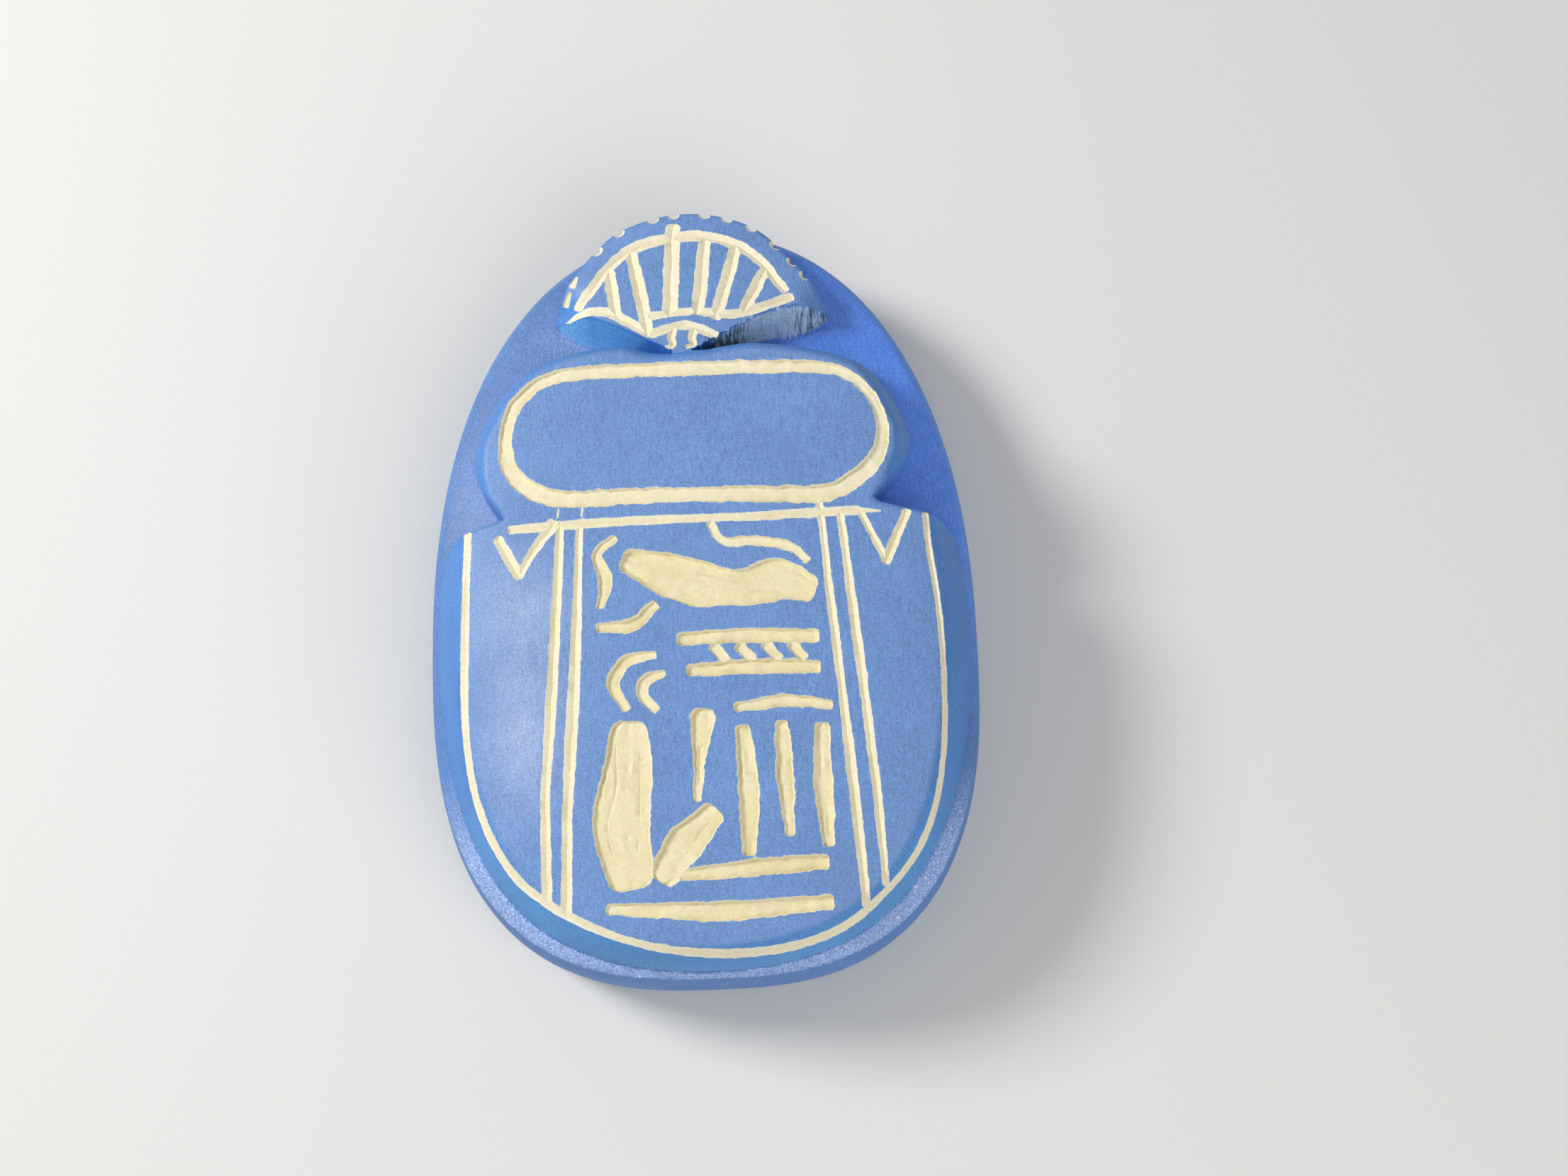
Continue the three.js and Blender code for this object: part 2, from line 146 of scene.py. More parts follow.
TONGUE_REACH = 3  # how far to either side it holds up the edge of the shield
TONGUE_Y = (20, 24)  # and where it begins to
NICKS_X = (-11.9, -9.2, -4.8, -2, 1.6, 4.4, 7.5, 10.5, 12.5, 13.9)

# Solids that are joined: their sides start inside the base and stop above the block that shapes their tops.
BURIED_Z = 8
BLOCK_Z = 34
BLOCK_FOOT = 6
SIDES_TOP_Z = 40
LEVEL = 0.01  # points less than this below the top of the block belong to it

# Cut lines.
FINE_DEPTH = 0.42
FAN_DEPTH = 0.45
BROAD_DEPTH = 0.5
CUTTER_RISE = 0.7  # how far a cutter stands above the coat
CUTTER_FLARE = 0.25  # and how much it widens there
STATION = 0.32  # step between the sections of a cut
STEEPEST = 0.3  # greatest depth of a cut, as a share of its width
RIDGE_STEP = 0.6  # step between the chisel ridges on a floor
FLOOR_DROP = 0.42  # how far below the back the lines on the floors of the broad strokes start
NOISE_RANGE = 1.8  # brings noise up to about -1 to 1

# Finishes: sizes of their patterns, and height of their bumps.
GRAIN_SIZE = 0.2  # coarser than the real grain, so that it shows
RUBBING_SIZE = 0.3
COAT_CLOUD_SIZE = 8
FIBRE_SIZE = 0.3
SPECK_STEP = 1.1
STONE_GRAIN_SIZE = 0.35
FLOOR_PATCH_SIZE = 4
COAT_BUMP = 0.05
STONE_BUMP = 0.04
CREASE_WIDTH = 0.45
# Where each part of the blue finish lies, which record_finish stores on the mesh.
COAT_ATTRIBUTES = ("steep", "flank", "violet", "azure", "grit", "crease", "rim", "painted_sheen", "torn", "dirt")
SMOOTH_ANGLE = math.radians(32)

# Camera and lamps.
CAMERA_ELEVATION = math.radians(75)
CAMERA_AZIMUTH = math.radians(-2.2)
CAMERA_AIM = (9.8, -1.6 - MIDDLE_Y, 14)
CAMERA_DISTANCE = 263
LAMP_AIM = (0, 0, 10)


# ---------------------------------------------------------------- curves and surfaces

def superellipse(angle, half_x, half_y, power):
    """Places on an oval that is squarer than an ellipse where its power is above 2."""
    c, s = np.cos(angle), np.sin(angle)
    return np.stack([
        half_x * np.sign(c) * np.abs(c) ** (2 / power),
        half_y * np.sign(s) * np.abs(s) ** (2 / power),
    ], axis=-1)


def bezier(start, handle_a, handle_b, end, count):
    """A cubic curve between two places."""
    t = np.linspace(0, 1, count)[:, None]
    a, b, c, d = (np.array(p, float) for p in (start, handle_a, handle_b, end))
    return (1 - t) ** 3 * a + 3 * (1 - t) ** 2 * t * b + 3 * (1 - t) * t ** 2 * c + t ** 3 * d


def smooth_through(places, closed=False, count=14):
    """A smooth line through a few places."""
    p = np.array(places, float)
    if closed:
        p = np.vstack([p[-1], p, p[0], p[1]])
    else:
        p = np.vstack([2 * p[0] - p[1], p, 2 * p[-1] - p[-2]])
    t = np.linspace(0, 1, count, endpoint=False)[:, None]
    runs = []
    for a, b, c, d in zip(p[:-3], p[1:-2], p[2:-1], p[3:]):
        runs.append(0.5 * (2 * b + (c - a) * t + (2 * a - 5 * b + 4 * c - d) * t ** 2
                           + (3 * b - a - 3 * c + d) * t ** 3))
    line = np.vstack(runs)
    return line if closed else np.vstack([line, p[-2]])


def evenly(line, step=STATION, closed=False):
    """The same line in even steps."""
    p = np.vstack([line, line[:1]]) if closed else np.asarray(line, float)
    travelled = np.concatenate([[0], np.cumsum(np.linalg.norm(np.diff(p, axis=0), axis=1))])
    count = max(3, round(travelled[-1] / step) + 1)
    at = np.linspace(0, travelled[-1], count)
    q = np.stack([np.interp(at, travelled, p[:, k]) for k in (0, 1)], axis=1)
    return q[:-1] if closed else q


def smoothstep(value, start, end):
    """Rises smoothly from 0 at the start to 1 at the end."""
    t = np.clip((value - start) / (end - start), 0, 1)
    return t * t * (3 - 2 * t)


def distance(points, line):
    """Distance from each point to a line of straight runs."""
    best = np.full(len(points), np.inf)
    for a, b in zip(line[:-1], line[1:]):
        run = b - a
        t = np.clip((points - a) @ run / (run @ run), 0, 1)
        best = np.minimum(best, np.linalg.norm(points - a - t[:, None] * run, axis=1))
    return best


def back_edges():
    """The outline of the back, anticlockwise from the tail, and the kind of edge on each run."""
    w = WING_HALF_WIDTH
    bow_x = TAIL_BOW * w
    bow_y = WING_WAIST_Y - TAIL_BOW * (WING_WAIST_Y - WING_TAIL_Y)
    return [
        ("side", bezier((0, WING_TAIL_Y), (bow_x, WING_TAIL_Y), (w, bow_y), (w, WING_WAIST_Y), 90)),
        ("side", bezier((w, WING_WAIST_Y), (w, -4), (31.8, -0.5), RIGHT_FRONT, 20)),
        ("front", np.array([RIGHT_FRONT, (21.2, 5.9), RIGHT_WEDGE])),
        ("shield", smooth_through(SHIELD)),
        ("front", np.array([LEFT_WEDGE, LEFT_FRONT])),
        ("side", bezier(LEFT_FRONT, (-32, -1), (-w, -5), (-w, WING_WAIST_Y), 20)),
        ("side", bezier((-w, WING_WAIST_Y), (-w, bow_y), (-bow_x, WING_TAIL_Y), (0, WING_TAIL_Y), 90)),
    ]


BACK_EDGES = back_edges()


def fall(gap, width, depth):
    """How far a rounded edge has dropped at this gap from the outline."""
    return depth * (1 - np.clip(gap / width, 0, 1)) ** EDGE_POWER


def crown_z(points):
    """Height of the back before its edges round over."""
    x, y = points[:, 0], points[:, 1] - CROWN_Y
    reach = np.where(y < 0, CROWN_Y - MARGIN_WAIST_Y + MARGIN_REACH, CROWN_HEAD_REACH)
    across = np.abs(x / MARGIN_HALF_WIDTH) ** MARGIN_POWER
    r = (across + np.abs(y / reach) ** MARGIN_POWER) ** (1 / MARGIN_POWER)
    tailward = np.clip(-y, 0, None) / reach
    roll = np.minimum(r, ROLL_LIMIT) ** ROLL_POWER
    return CROWN_Z - CROWN_ARCH * r ** 2 - roll - CROWN_TAIL_FALL * tailward ** 2


def back_z(points):
    """Height of the back with its rounded edges."""
    x, y = points[:, 0], points[:, 1]
    tailward = np.clip((WING_WAIST_Y - y) / (WING_WAIST_Y - WING_TAIL_Y), 0, 1) ** 3
    past_wedge = np.clip((y - WEDGE_Y) / WEDGE_LENGTH, 0, 1)
    side = [a + (b - a) * tailward for a, b in zip(WING_EDGE, TAIL_EDGE)]
    shield_width, shield_depth = (a + (b - a) * past_wedge for a, b in zip(FRONT_EDGE, SHIELD_EDGE))
    # Where the plate runs into the shield, the shield's edge falls only as far as the plate.
    by_tongue = np.exp(-((x - TONGUE_X) / TONGUE_REACH) ** 2) * smoothstep(y, *TONGUE_Y)
    shield = [shield_width * (1 - 0.5 * by_tongue), shield_depth * (1 - 0.68 * by_tongue)]
    edges = {"side": side, "shield": shield, "front": FRONT_EDGE}
    drops = [fall(distance(points, line), *edges[kind]) for kind, line in BACK_EDGES]
    return crown_z(points) - np.max(drops, axis=0)


def plate_z(points):
    """Height of the head plate, which falls towards its front and its corners."""
    x, y = points[:, 0], points[:, 1]
    corners = np.where(x < 0, LEFT_CORNER_DROP, RIGHT_CORNER_DROP) * smoothstep(np.abs(x), *CORNER_X)
    arch = PLATE_ARCH * (x / PLATE_HALF_WIDTH) ** 2
    return PLATE_Z - PLATE_SLOPE * (y - PLATE_Y) - arch - corners * smoothstep(y, *CORNER_Y)


def plate_outline():
    """The outline of the head plate, from its right corner round the front and back along the scoops."""
    return np.vstack([smooth_through(PLATE_FRONT), LEFT_FOOT, TONGUE, RIGHT_FOOT])


def plate_top(points):
    """Height of the plate with its rounded rim."""
    return plate_z(points) - fall(distance(points, smooth_through(PLATE_FRONT)), *PLATE_RIM)


def uneven(points, lengths, seed):
    """Smooth random heights between about -1 and 1 that change over a length in x and in y."""
    places = points[:, :2] / lengths
    return NOISE_RANGE * np.array([noise.noise((x, y, seed * 3.7)) for x, y in places])


def base_outline():
    """The outline of the base about its waist, anticlockwise from the right."""
    halves = []
    for start, reach, power in (
        (0, BASE_HEAD_REACH, BASE_HEAD_POWER), (math.pi, BASE_TAIL_REACH, BASE_TAIL_POWER),
    ):
        angle = np.linspace(start, start + math.pi, 200, endpoint=False)
        halves.append(superellipse(angle, BASE_HALF_WIDTH, reach, power))
    return np.vstack(halves)


def base_z(points):
    """Height of the flanks, which slope up from the rim towards the middle."""
    y = points[:, 1] - BASE_WAIST_Y
    head = y > 0
    power = np.where(head, BASE_HEAD_POWER, BASE_TAIL_POWER)
    reach = np.where(head, BASE_HEAD_REACH, BASE_TAIL_REACH)
    s = (np.abs(points[:, 0] / BASE_HALF_WIDTH) ** power + np.abs(y / reach) ** power) ** (1 / power)
    rim = base_outline() * BASE_SIDE[-1][0] + (0, BASE_WAIST_Y)
    gap = distance(points, np.vstack([rim, rim[:1]]))
    rounding = RIM_FALL * (1 - np.clip(gap / RIM_WIDTH, 0, 1)) ** 2
    return BASE_TOP_Z - BASE_TOP_FALL * s ** BASE_TOP_POWER - rounding


# ---------------------------------------------------------------- solids

def deselect():
    bpy.ops.object.select_all(action="DESELECT")


def mesh_object(name, vertices, faces, material=0):
    """A mesh from millimetre points."""
    mesh = bpy.data.meshes.new(name)
    mesh.from_pydata((np.asarray(vertices, float) * MM).tolist(), [], faces)
    piece = bpy.data.objects.new(name, mesh)
    bpy.context.scene.collection.objects.link(piece)
    finish(piece, material)
    return piece


def finish(piece, index):
    """Puts both finishes in the piece's slots and gives all of it one of them."""
    for m in (BLUE, CREAM):
        piece.data.materials.append(m)
    finish_of(piece, index)


def finish_of(piece, index):
    """Gives all of the piece one finish: 0 is the blue coat, 1 the cream stone."""
    piece.data.polygons.foreach_set("material_index", [index] * len(piece.data.polygons))


def only(piece):
    """Makes this the only selected piece and the active one."""
    deselect()
    piece.select_set(True)
    bpy.context.view_layer.objects.active = piece


def combine(piece, other, operation):
    """Joins or cuts one solid with another, which is then removed."""
    only(piece)
    m = piece.modifiers.new(operation.lower(), "BOOLEAN")
    m.operation, m.solver, m.object = operation, "MANIFOLD", other
    bpy.ops.object.modifier_apply(modifier=m.name)
    bpy.data.objects.remove(other)


def slab(name, rings):
    """A solid raised ring by ring from a flat disc; each ring is a row of millimetre points."""
    deselect()
    bpy.ops.mesh.primitive_circle_add(vertices=len(rings[0]), fill_type="NGON")
    piece = bpy.context.object
    piece.name = name
    order = piece.data.attributes.new("order", "INT", "POINT")
    order.data.foreach_set("value", range(len(rings[0])))
    settle(piece, rings[0])
    for ring in rings[1:]:
        bpy.ops.object.mode_set(mode="EDIT")
        bpy.ops.mesh.extrude_region_move()
        bpy.ops.object.mode_set(mode="OBJECT")
        settle(piece, ring)
    return piece


def settle(piece, ring):
    """Moves the selected ring of a slab to its points."""
    order = piece.data.attributes["order"].data
    for v in piece.data.vertices:
        if v.select:
            v.co = Vector(ring[order[v.index].value]) * MM


def outline_rings(outline, heights, shares=None, middle=(0, 0)):
    """Copies of an outline at several heights, drawn in towards a middle."""
    shares = shares or [1] * len(heights)
    rings = []
    for z, share in zip(heights, shares):
        ring = np.empty((len(outline), 3))
        ring[:, :2] = outline * share + middle
        ring[:, 2] = z
        rings.append(ring)
    return rings


def tier(name, prism, surface, spacing):
    """A solid with the prism's sides and a finely divided top at the height that surface gives."""
    corners = coordinates(prism)
    lo, hi = corners.min(0) - 1, corners.max(0) + 1
    span, middle = hi - lo, (hi + lo) / 2
    deselect()
    bpy.ops.mesh.primitive_grid_add(
        x_subdivisions=round(span[0] / spacing), y_subdivisions=round(span[1] / spacing), size=MM)
    piece = bpy.context.object
    piece.name = name
    finish(piece, 0)
    bpy.ops.object.mode_set(mode="EDIT")
    bpy.ops.mesh.select_all(action="SELECT")
    bpy.ops.transform.resize(value=(span[0], span[1], 1))
    bpy.ops.transform.translate(value=(middle[0] * MM, middle[1] * MM, BLOCK_Z * MM))
    bpy.ops.mesh.extrude_region_move(TRANSFORM_OT_translate={"value": (0, 0, -(BLOCK_Z + BLOCK_FOOT) * MM)})
    bpy.ops.mesh.select_all(action="SELECT")
    bpy.ops.mesh.normals_make_consistent(inside=False)
    bpy.ops.object.mode_set(mode="OBJECT")
    combine(piece, prism, "INTERSECT")
    co = coordinates(piece)
    top = co[:, 2] > BLOCK_Z - LEVEL
    co[top, 2] = surface(co[top, :2])
    place(piece, co)
    return piece


def coordinates(piece):
    """The piece's points in millimetres."""
    co = np.empty(len(piece.data.vertices) * 3)
    piece.data.vertices.foreach_get("co", co)
    return co.reshape(-1, 3) / MM


def place(piece, co):
    """Moves the piece's points to these, in millimetres."""
    piece.data.vertices.foreach_set("co", (co * MM).ravel())
    piece.data.update()


# ---------------------------------------------------------------- tiers of the carving

def granular_base_z(points):
    """The flanks are left from the rough shaping, and the shelf behind the tail is pitted all over."""
    pitted = 0.35 + 0.65 * smoothstep(points[:, 1], *SHELF_Y)
    pits = 0.06 * pitted * uneven(points, (0.9, 0.9), 1)
    return base_z(points) + pits + 0.08 * uneven(points, (7, 9), 2)


def worn_back_z(points):
    """The back is rubbed a little uneven."""
    return back_z(points) + 0.05 * uneven(points, (8, 12), 4)


def base_tier():
    """The egg-shaped base, whose sides draw in a little towards the foot and the rim."""
    shares, heights = zip(*BASE_SIDE)
    rings = outline_rings(base_outline(), [*heights, SIDES_TOP_Z], [*shares, shares[-1]], (0, BASE_WAIST_Y))
    return tier("base", slab("base_sides", rings), granular_base_z, spacing=0.42)


def back_tier():
    """The wing cases and the shield."""
    outline = np.vstack([evenly(line, step=0.55)[:-1] for _, line in BACK_EDGES])
    rings = outline_rings(outline, [BURIED_Z, SIDES_TOP_Z])
    return tier("back", slab("back_sides", rings), worn_back_z, spacing=0.4)


def plate_tier():
    """The head plate, before it is scooped out."""
    outline = evenly(plate_outline(), step=0.4, closed=True)
    rings = outline_rings(outline, [BURIED_Z, SIDES_TOP_Z])
    return tier("plate", slab("plate_sides", rings), plate_top, spacing=0.3)


# ---------------------------------------------------------------- cuts

def loft(name, columns, closed, material):
    """A solid through the sections whose matching points are the rows of each column."""
    count, rows = len(columns[0]), len(columns)
    faces = []
    for i in range(count if closed else count - 1):
        a, b = i * rows, (i + 1) % count * rows
        for k in range(rows):
            m = (k + 1) % rows
            faces.append((a + k, b + k, b + m, a + m))
    if not closed:
        faces.append(tuple(range(rows)))
        faces.append(tuple((count - 1) * rows + k for k in reversed(range(rows))))
    piece = mesh_object(name, np.stack(columns, axis=1).reshape(-1, 3), faces, material)
    only(piece)
    bpy.ops.object.mode_set(mode="EDIT")
    bpy.ops.mesh.select_all(action="SELECT")
    bpy.ops.mesh.normals_make_consistent(inside=False)
    bpy.ops.object.mode_set(mode="OBJECT")
    return piece


def scoop(name, crest, foot, torn):
    """The solid that hollows the plate from a crest down to its foot; a torn scoop has ragged ridges."""
    above, behind = 1.5, 1.2  # how far the solid reaches past the plate
    x = np.arange(foot[0][0] - 0.3, foot[-1][0] + 0.3, 0.2)
    crest_y, foot_y = (np.interp(x, *zip(*line)) for line in (crest, foot))
    crest_y = np.maximum(crest_y, foot_y + 0.15)
    flank = base_z(np.column_stack([x, foot_y])) - 0.1
    brow = plate_z(np.column_stack([x, crest_y]))
    ragged = torn * 0.4 * np.array([noise.noise((p * 1.7, 4.2, 0)) for p in x])
    columns = [np.column_stack([x, crest_y + ragged, brow + above])]
    for t in np.linspace(0, 1, 12):
        y = crest_y + (foot_y - crest_y) * t + ragged * (1 - t)
        z = flank + (brow - flank) * (1 - t) ** 1.6
        ridge = [noise.noise((p * 2.6 + t, t * 2.2, 1.1)) + 0.5 * noise.noise((p * 6, t * 5, 7)) for p in x]
        columns.append(np.column_stack([x, y, z + torn * 0.5 * np.array(ridge) * math.sin(math.pi * t)]))
    columns.append(np.column_stack([x, foot_y - behind, flank + 0.1]))
    columns.append(np.column_stack([x, foot_y - behind, brow + above]))
    return loft(name, columns, closed=False, material=0)


def wander(count, length, seed):
    """Smooth random numbers between about -1 and 1 along a line, that change over a length."""
    places = [(i * STATION / length, seed * 7.31, 0.5) for i in range(count)]
    return NOISE_RANGE * np.array([noise.noise(p) for p in places])


def cut(line, surface, widths, depth=FINE_DEPTH, floored=False, ragged=0.05, closed=False, blunt=0.5):
    """
    The solid that cuts one stroke. It follows the surface along the line, and its section is a V or has a
    floor with the ridges of a chisel. Its two edges wander on their own, so the coat looks chipped.
    """
    seed = len(cutters)
    line = evenly(line, STATION, closed)
    n = len(line)
    before = np.roll(line, 1, axis=0) if closed else np.vstack([line[:1], line[:-1]])
    after = np.roll(line, -1, axis=0) if closed else np.vstack([line[1:], line[-1:]])
    along = after - before
    along /= np.linalg.norm(along, axis=1)[:, None]
    width = np.interp(np.linspace(0, 1, n), np.linspace(0, 1, len(widths)), widths)
    share = np.ones(n)
    if not closed:
        line, along, width, share = rounded_ends(line, along, width, share, blunt)
        n = len(line)
    across = np.stack([-along[:, 1], along[:, 0]], axis=1)
    half = width / 2 * share
    deep = np.minimum(depth, width * STEEPEST) * (0.4 + 0.6 * share)

    def edge(side):
        chips = 0.7 * wander(n, 1.5, seed + side * 31) + 0.7 * wander(n, 0.45, seed + side * 17 + 3)
        return side * np.maximum(half + ragged * chips * np.minimum(share * 1.4, 1), 0.04)

    def column(offset, up):
        at = line + across * offset[:, None]
        return np.column_stack([at, surface(at) + up])

    def far_corner(lip):
        corner = column(lip + np.sign(lip) * CUTTER_FLARE, CUTTER_RISE)
        corner[:, 2] = np.maximum(corner[:, 2], column(lip, CUTTER_RISE)[:, 2])
        return corner

    left, right = edge(-1), edge(1)
    columns = [far_corner(left), column(left, 0)]
    if floored:
        wall = np.minimum(deep * 0.45, half * 0.5)
        count = max(2, round(max(widths) / RIDGE_STEP))
        for k in range(count):
            t = k / (count - 1)
            ridge = 0.16 * wander(n, 0.9, seed + 11 * k) + 0.26 * wander(n, 5, seed + 19 * k)
            columns.append(column((left + wall) * (1 - t) + (right - wall) * t, -deep * (1 + ridge)))
    else:
        middle = (left + right) / 2 + 0.12 * half * wander(n, 3, seed + 5)
        columns.append(column(middle, -deep * (1 + 0.12 * wander(n, 2, seed + 9))))
    columns += [column(right, 0), far_corner(right)]
    cutters.append(loft(f"cut_{seed:02d}", columns, closed, material=1))


def rounded_ends(line, along, width, share, blunt):
    """Adds sections past both ends of a stroke, each narrower than the last; blunt ends reach less far."""
    turns = np.radians((30, 55, 78))
    narrower = np.cos(turns) ** blunt
    for end, sign in ((0, -1), (-1, 1)):
        reach = np.sin(turns) * width[end] / 2 * (1.2 - blunt)
        past = line[end] + sign * along[end] * reach[:, None]
        extra = [past, np.tile(along[end], (3, 1)), np.full(3, width[end]), narrower]
        parts = [line, along, width, share]
        if sign < 0:
            line, along, width, share = (np.concatenate([e[::-1], p]) for e, p in zip(extra, parts))
        else:
            line, along, width, share = (np.concatenate([p, e]) for e, p in zip(extra, parts))
    return line, along, width, share


def cartouche():
    """The long oval that is cut into the shield, widest at its two lower corners."""
    oval = smooth_through([
        (14.2, 6.8), (18.1, 8.3), (21.1, 11.2), (22.1, 15.1), (20.9, 18.9), (18.1, 21.6), (14, 22.7),
        (6.2, 22.9), (-6.2, 22.9), (-14.4, 22.8), (-18.3, 21.9), (-21.2, 19.3), (-22.5, 15.5), (-22, 11.3),
        (-18.9, 8.3), (-14.6, 7.3), (-6.5, 7.3), (5.9, 7.1),
    ], closed=True)
    widths = (2.3, 2.1, 1.35, 1.25, 1.7, 1.75, 1.8, 1.7, 1.75, 1.6, 1.75, 2.2, 2.1, 2, 1.8, 2, 2.3)
    cut(oval, back_z, widths, floored=True, ragged=0.12, closed=True)


def margin():
    """The U that runs round the wing cases inside their edge."""
    u = smooth_through([
        (-27.1, 3.8), (-27.3, -3), (-27.6, -14), (-27.5, -20), (-26.7, -26.2), (-25, -31.3), (-22.2, -36),
        (-18.2, -39.5), (-13, -42.4), (-7.7, -44.3), (-2, -45.3), (3.9, -45.5), (9.8, -44.8), (15.3, -42.8),
        (20, -39.2), (23.8, -34.8), (26.2, -29.5), (27.5, -22.5), (27.8, -14), (27.5, -6), (26.9, -0.6),
        (26.6, 4.3),
    ])
    cut(u, back_z, (1.05, 0.95, 0.95, 0.9, 0.9, 0.75, 0.7, 0.75), ragged=0.045)


def shoulder_lines():
    """The line across the shoulders, the V at either end of it, and the two pairs down the wing cases."""
    cut([(-21.9, 3.9), (-8, 4.3), (6, 4.3), (18.6, 4.7)], back_z, (1.1, 1.15, 1.1, 1.2), ragged=0.06)
    cut([(18.6, 4.7), (21.3, 4.6)], back_z, (0.95, 0.3), depth=0.25, ragged=0.02)
    for run, widths in (
        ([(-23.4, 2.7), (-21, -1.7)], (1.35, 1.25)),
        ([(-21, -1.7), (-19.2, 1.3), (-17, 4.3)], (1.0, 1.1, 1.5)),
        ([(18.9, 4.7), (21.7, -1.4)], (0.9, 1.05)),
        ([(21.7, -1.4), (24.4, 4.5)], (1.35, 1.05)),
        ([(-16.1, 4.2), (-17.1, -11.9), (-18.4, -28), (-18.5, -38.9)], (1.0, 1.15, 1.3, 1.25, 1.15)),
        ([(-13.9, 3.6), (-14.6, -12.5), (-15.9, -29.3), (-16.3, -40.5)], (0.85, 1.15, 1.5, 1.3, 1.2)),
        ([(14.2, 6.3), (15, -5.6), (16.4, -23.3), (17.7, -40.6)], (0.85, 1.0, 1.2, 1.1)),
        ([(16.6, 4.4), (18, -12), (19.4, -28.3), (20, -38.4)], (0.9, 1.15, 1.1, 0.95)),
    ):
        cut(run, back_z, widths, ragged=0.06)


def panel_strokes():
    """Filling of the middle panel: rows of plain strokes that spell nothing."""
    strokes = [
        ([(-11.6, -5.8), (-11, -2.6), (-11.9, 0.4), (-9.9, 2.2)], (0.9, 1.7, 1.2, 1)),
        ([(-8, -0.6), (-4.6, -2), (0, -3.6), (4.6, -4.2), (9, -3.4), (12.2, -4.4)],
         (3.2, 5.2, 5.6, 4.2, 5.4, 3.6)),
        ([(1.4, 3.6), (2.8, 1.5), (7, 1.3), (10.8, 0.4), (12.4, -1.2)], (1, 1.2, 1.25, 1.2, 0.9)),
        ([(-11.8, -8.3), (-8, -8.2), (-5.4, -6)], (1.1, 1.7, 1.2)),
        ([(-2.4, -10), (5, -9.9), (13, -10.2)], (1.5, 1.8, 1.6)),
        ([(-1.4, -13.7), (6, -13.5), (13, -13.8)], (1.5, 1.9, 1.6)),
        ([(-5.6, -11.8), (-8.8, -12.4), (-10.3, -15), (-8.9, -17.8)], (1, 1.6, 1.6, 1)),
        ([(-4.6, -14), (-6.5, -14.6), (-7, -16.2), (-5.6, -18.1)], (0.9, 1.4, 1.4, 1)),
        ([(-8.7, -20.8), (-8.9, -25), (-9.8, -31), (-9, -36.4)], (4.4, 6, 6.6, 5.6)),
        ([(-4.9, -36.6), (-3, -33.8), (0.4, -30.4)], (3.4, 4.4, 3)),
        ([(-0.2, -19.2), (-0.7, -24), (-1.1, -28.4)], (3, 1.4, 1)),
        ([(3.8, -18.2), (9, -17.6), (14.4, -18.2)], (1.1, 1.6, 1.1)),
        ([(4.3, -20.8), (4.8, -27), (4.6, -34.4)], (1.7, 2.5, 1.7)),
        ([(8.8, -20.4), (9, -26), (9.3, -32.6)], (1.6, 2.1, 1.1)),
        ([(13.4, -20.8), (13.3, -27), (13.6, -33.8)], (1.7, 2.3, 1.4)),
        ([(-3, -36.9), (5, -36.3), (13, -35.9)], (1.4, 2, 1.8)),
        ([(-11.4, -40.3), (1, -41), (13.4, -40.4)], (1.2, 2.3, 1.7)),
    ]
    strokes += [([(x, -11.1), (x + 1.2, -12.6)], (1.3, 1.2)) for x in (1.4, 4.4, 7.4, 10.4)]
    for places, widths in strokes:
        cut(smooth_through(places), back_z, widths, depth=BROAD_DEPTH, floored=True, ragged=0.1)


def floor_lines():
    """Thin tool lines along the floors of the broad strokes."""
    def floor_z(points):
        return back_z(points) - FLOOR_DROP

    for places in (
        [(-10.2, -22), (-10.3, -27), (-11.4, -31), (-10.6, -35.6)],
        [(-7.4, -22.5), (-7.6, -28), (-8, -34)],
        [(-7, -0.9), (-3, -1.6), (0.6, -2.3), (4.6, -3.4)],
        [(-1, -4.8), (4, -5), (8, -4.6), (11.4, -5)],
        [(-3.6, -36), (-1.6, -33.2), (0.2, -31.2)],
    ):
        cut(smooth_through(places), floor_z, (0.5, 0.8, 0.5), depth=0.2, ragged=0.08)


def fan():
    """The fan on the head plate, its bars and the scroll below it."""
    arcs = [
        ([(-14, 33.6), (-8.6, 40.2), (-2.6, 42.3), (3.1, 42), (7.6, 39.6), (11.2, 34.6)],
         (1.4, 1.6, 1.5, 1.3)),
        ([(-16.4, 32), (-11, 32.3), (-5.5, 28.9)], (0.8, 1.4, 1.3)),
        ([(-5, 31.2), (0, 31.6), (5.4, 31.2), (11.9, 33.5)], (1.2, 1.1, 1.3, 1.3)),
        ([(-5.1, 28.7), (-1, 29.7), (2.9, 28)], (1.2, 1.3, 1.1)),
    ]
    for places, widths in arcs:
        cut(smooth_through(places), plate_z, widths, depth=FAN_DEPTH, ragged=0.09)
    bars = [
        ((-10.2, 37.8), (-9.4, 31.9), 1.3), ((-7.4, 40.3), (-5.5, 28.9), 1.4),
        ((-2.3, 43.7), (-2.8, 31.8), 1.75), ((1.6, 41.4), (0.6, 31.6), 1.5),
        ((5.4, 40.4), (2.8, 30.8), 1.4), ((9, 37.4), (6.3, 31.9), 1.3),
    ]
    for start, end, width in bars:
        cut([start, end], plate_z, (width * 1.05, width * 1.2, width * 1.05), depth=BROAD_DEPTH, ragged=0.1)
    for x in (-2.6, -0.1):
        hook = [(x + 0.2, 29.1), (x - 0.1, 27.9), (x + 0.15, 27), (x - 0.7, 26.6)]
        cut(smooth_through(hook), plate_z, (1, 1, 0.9, 0.6), depth=0.4, ragged=0.08)


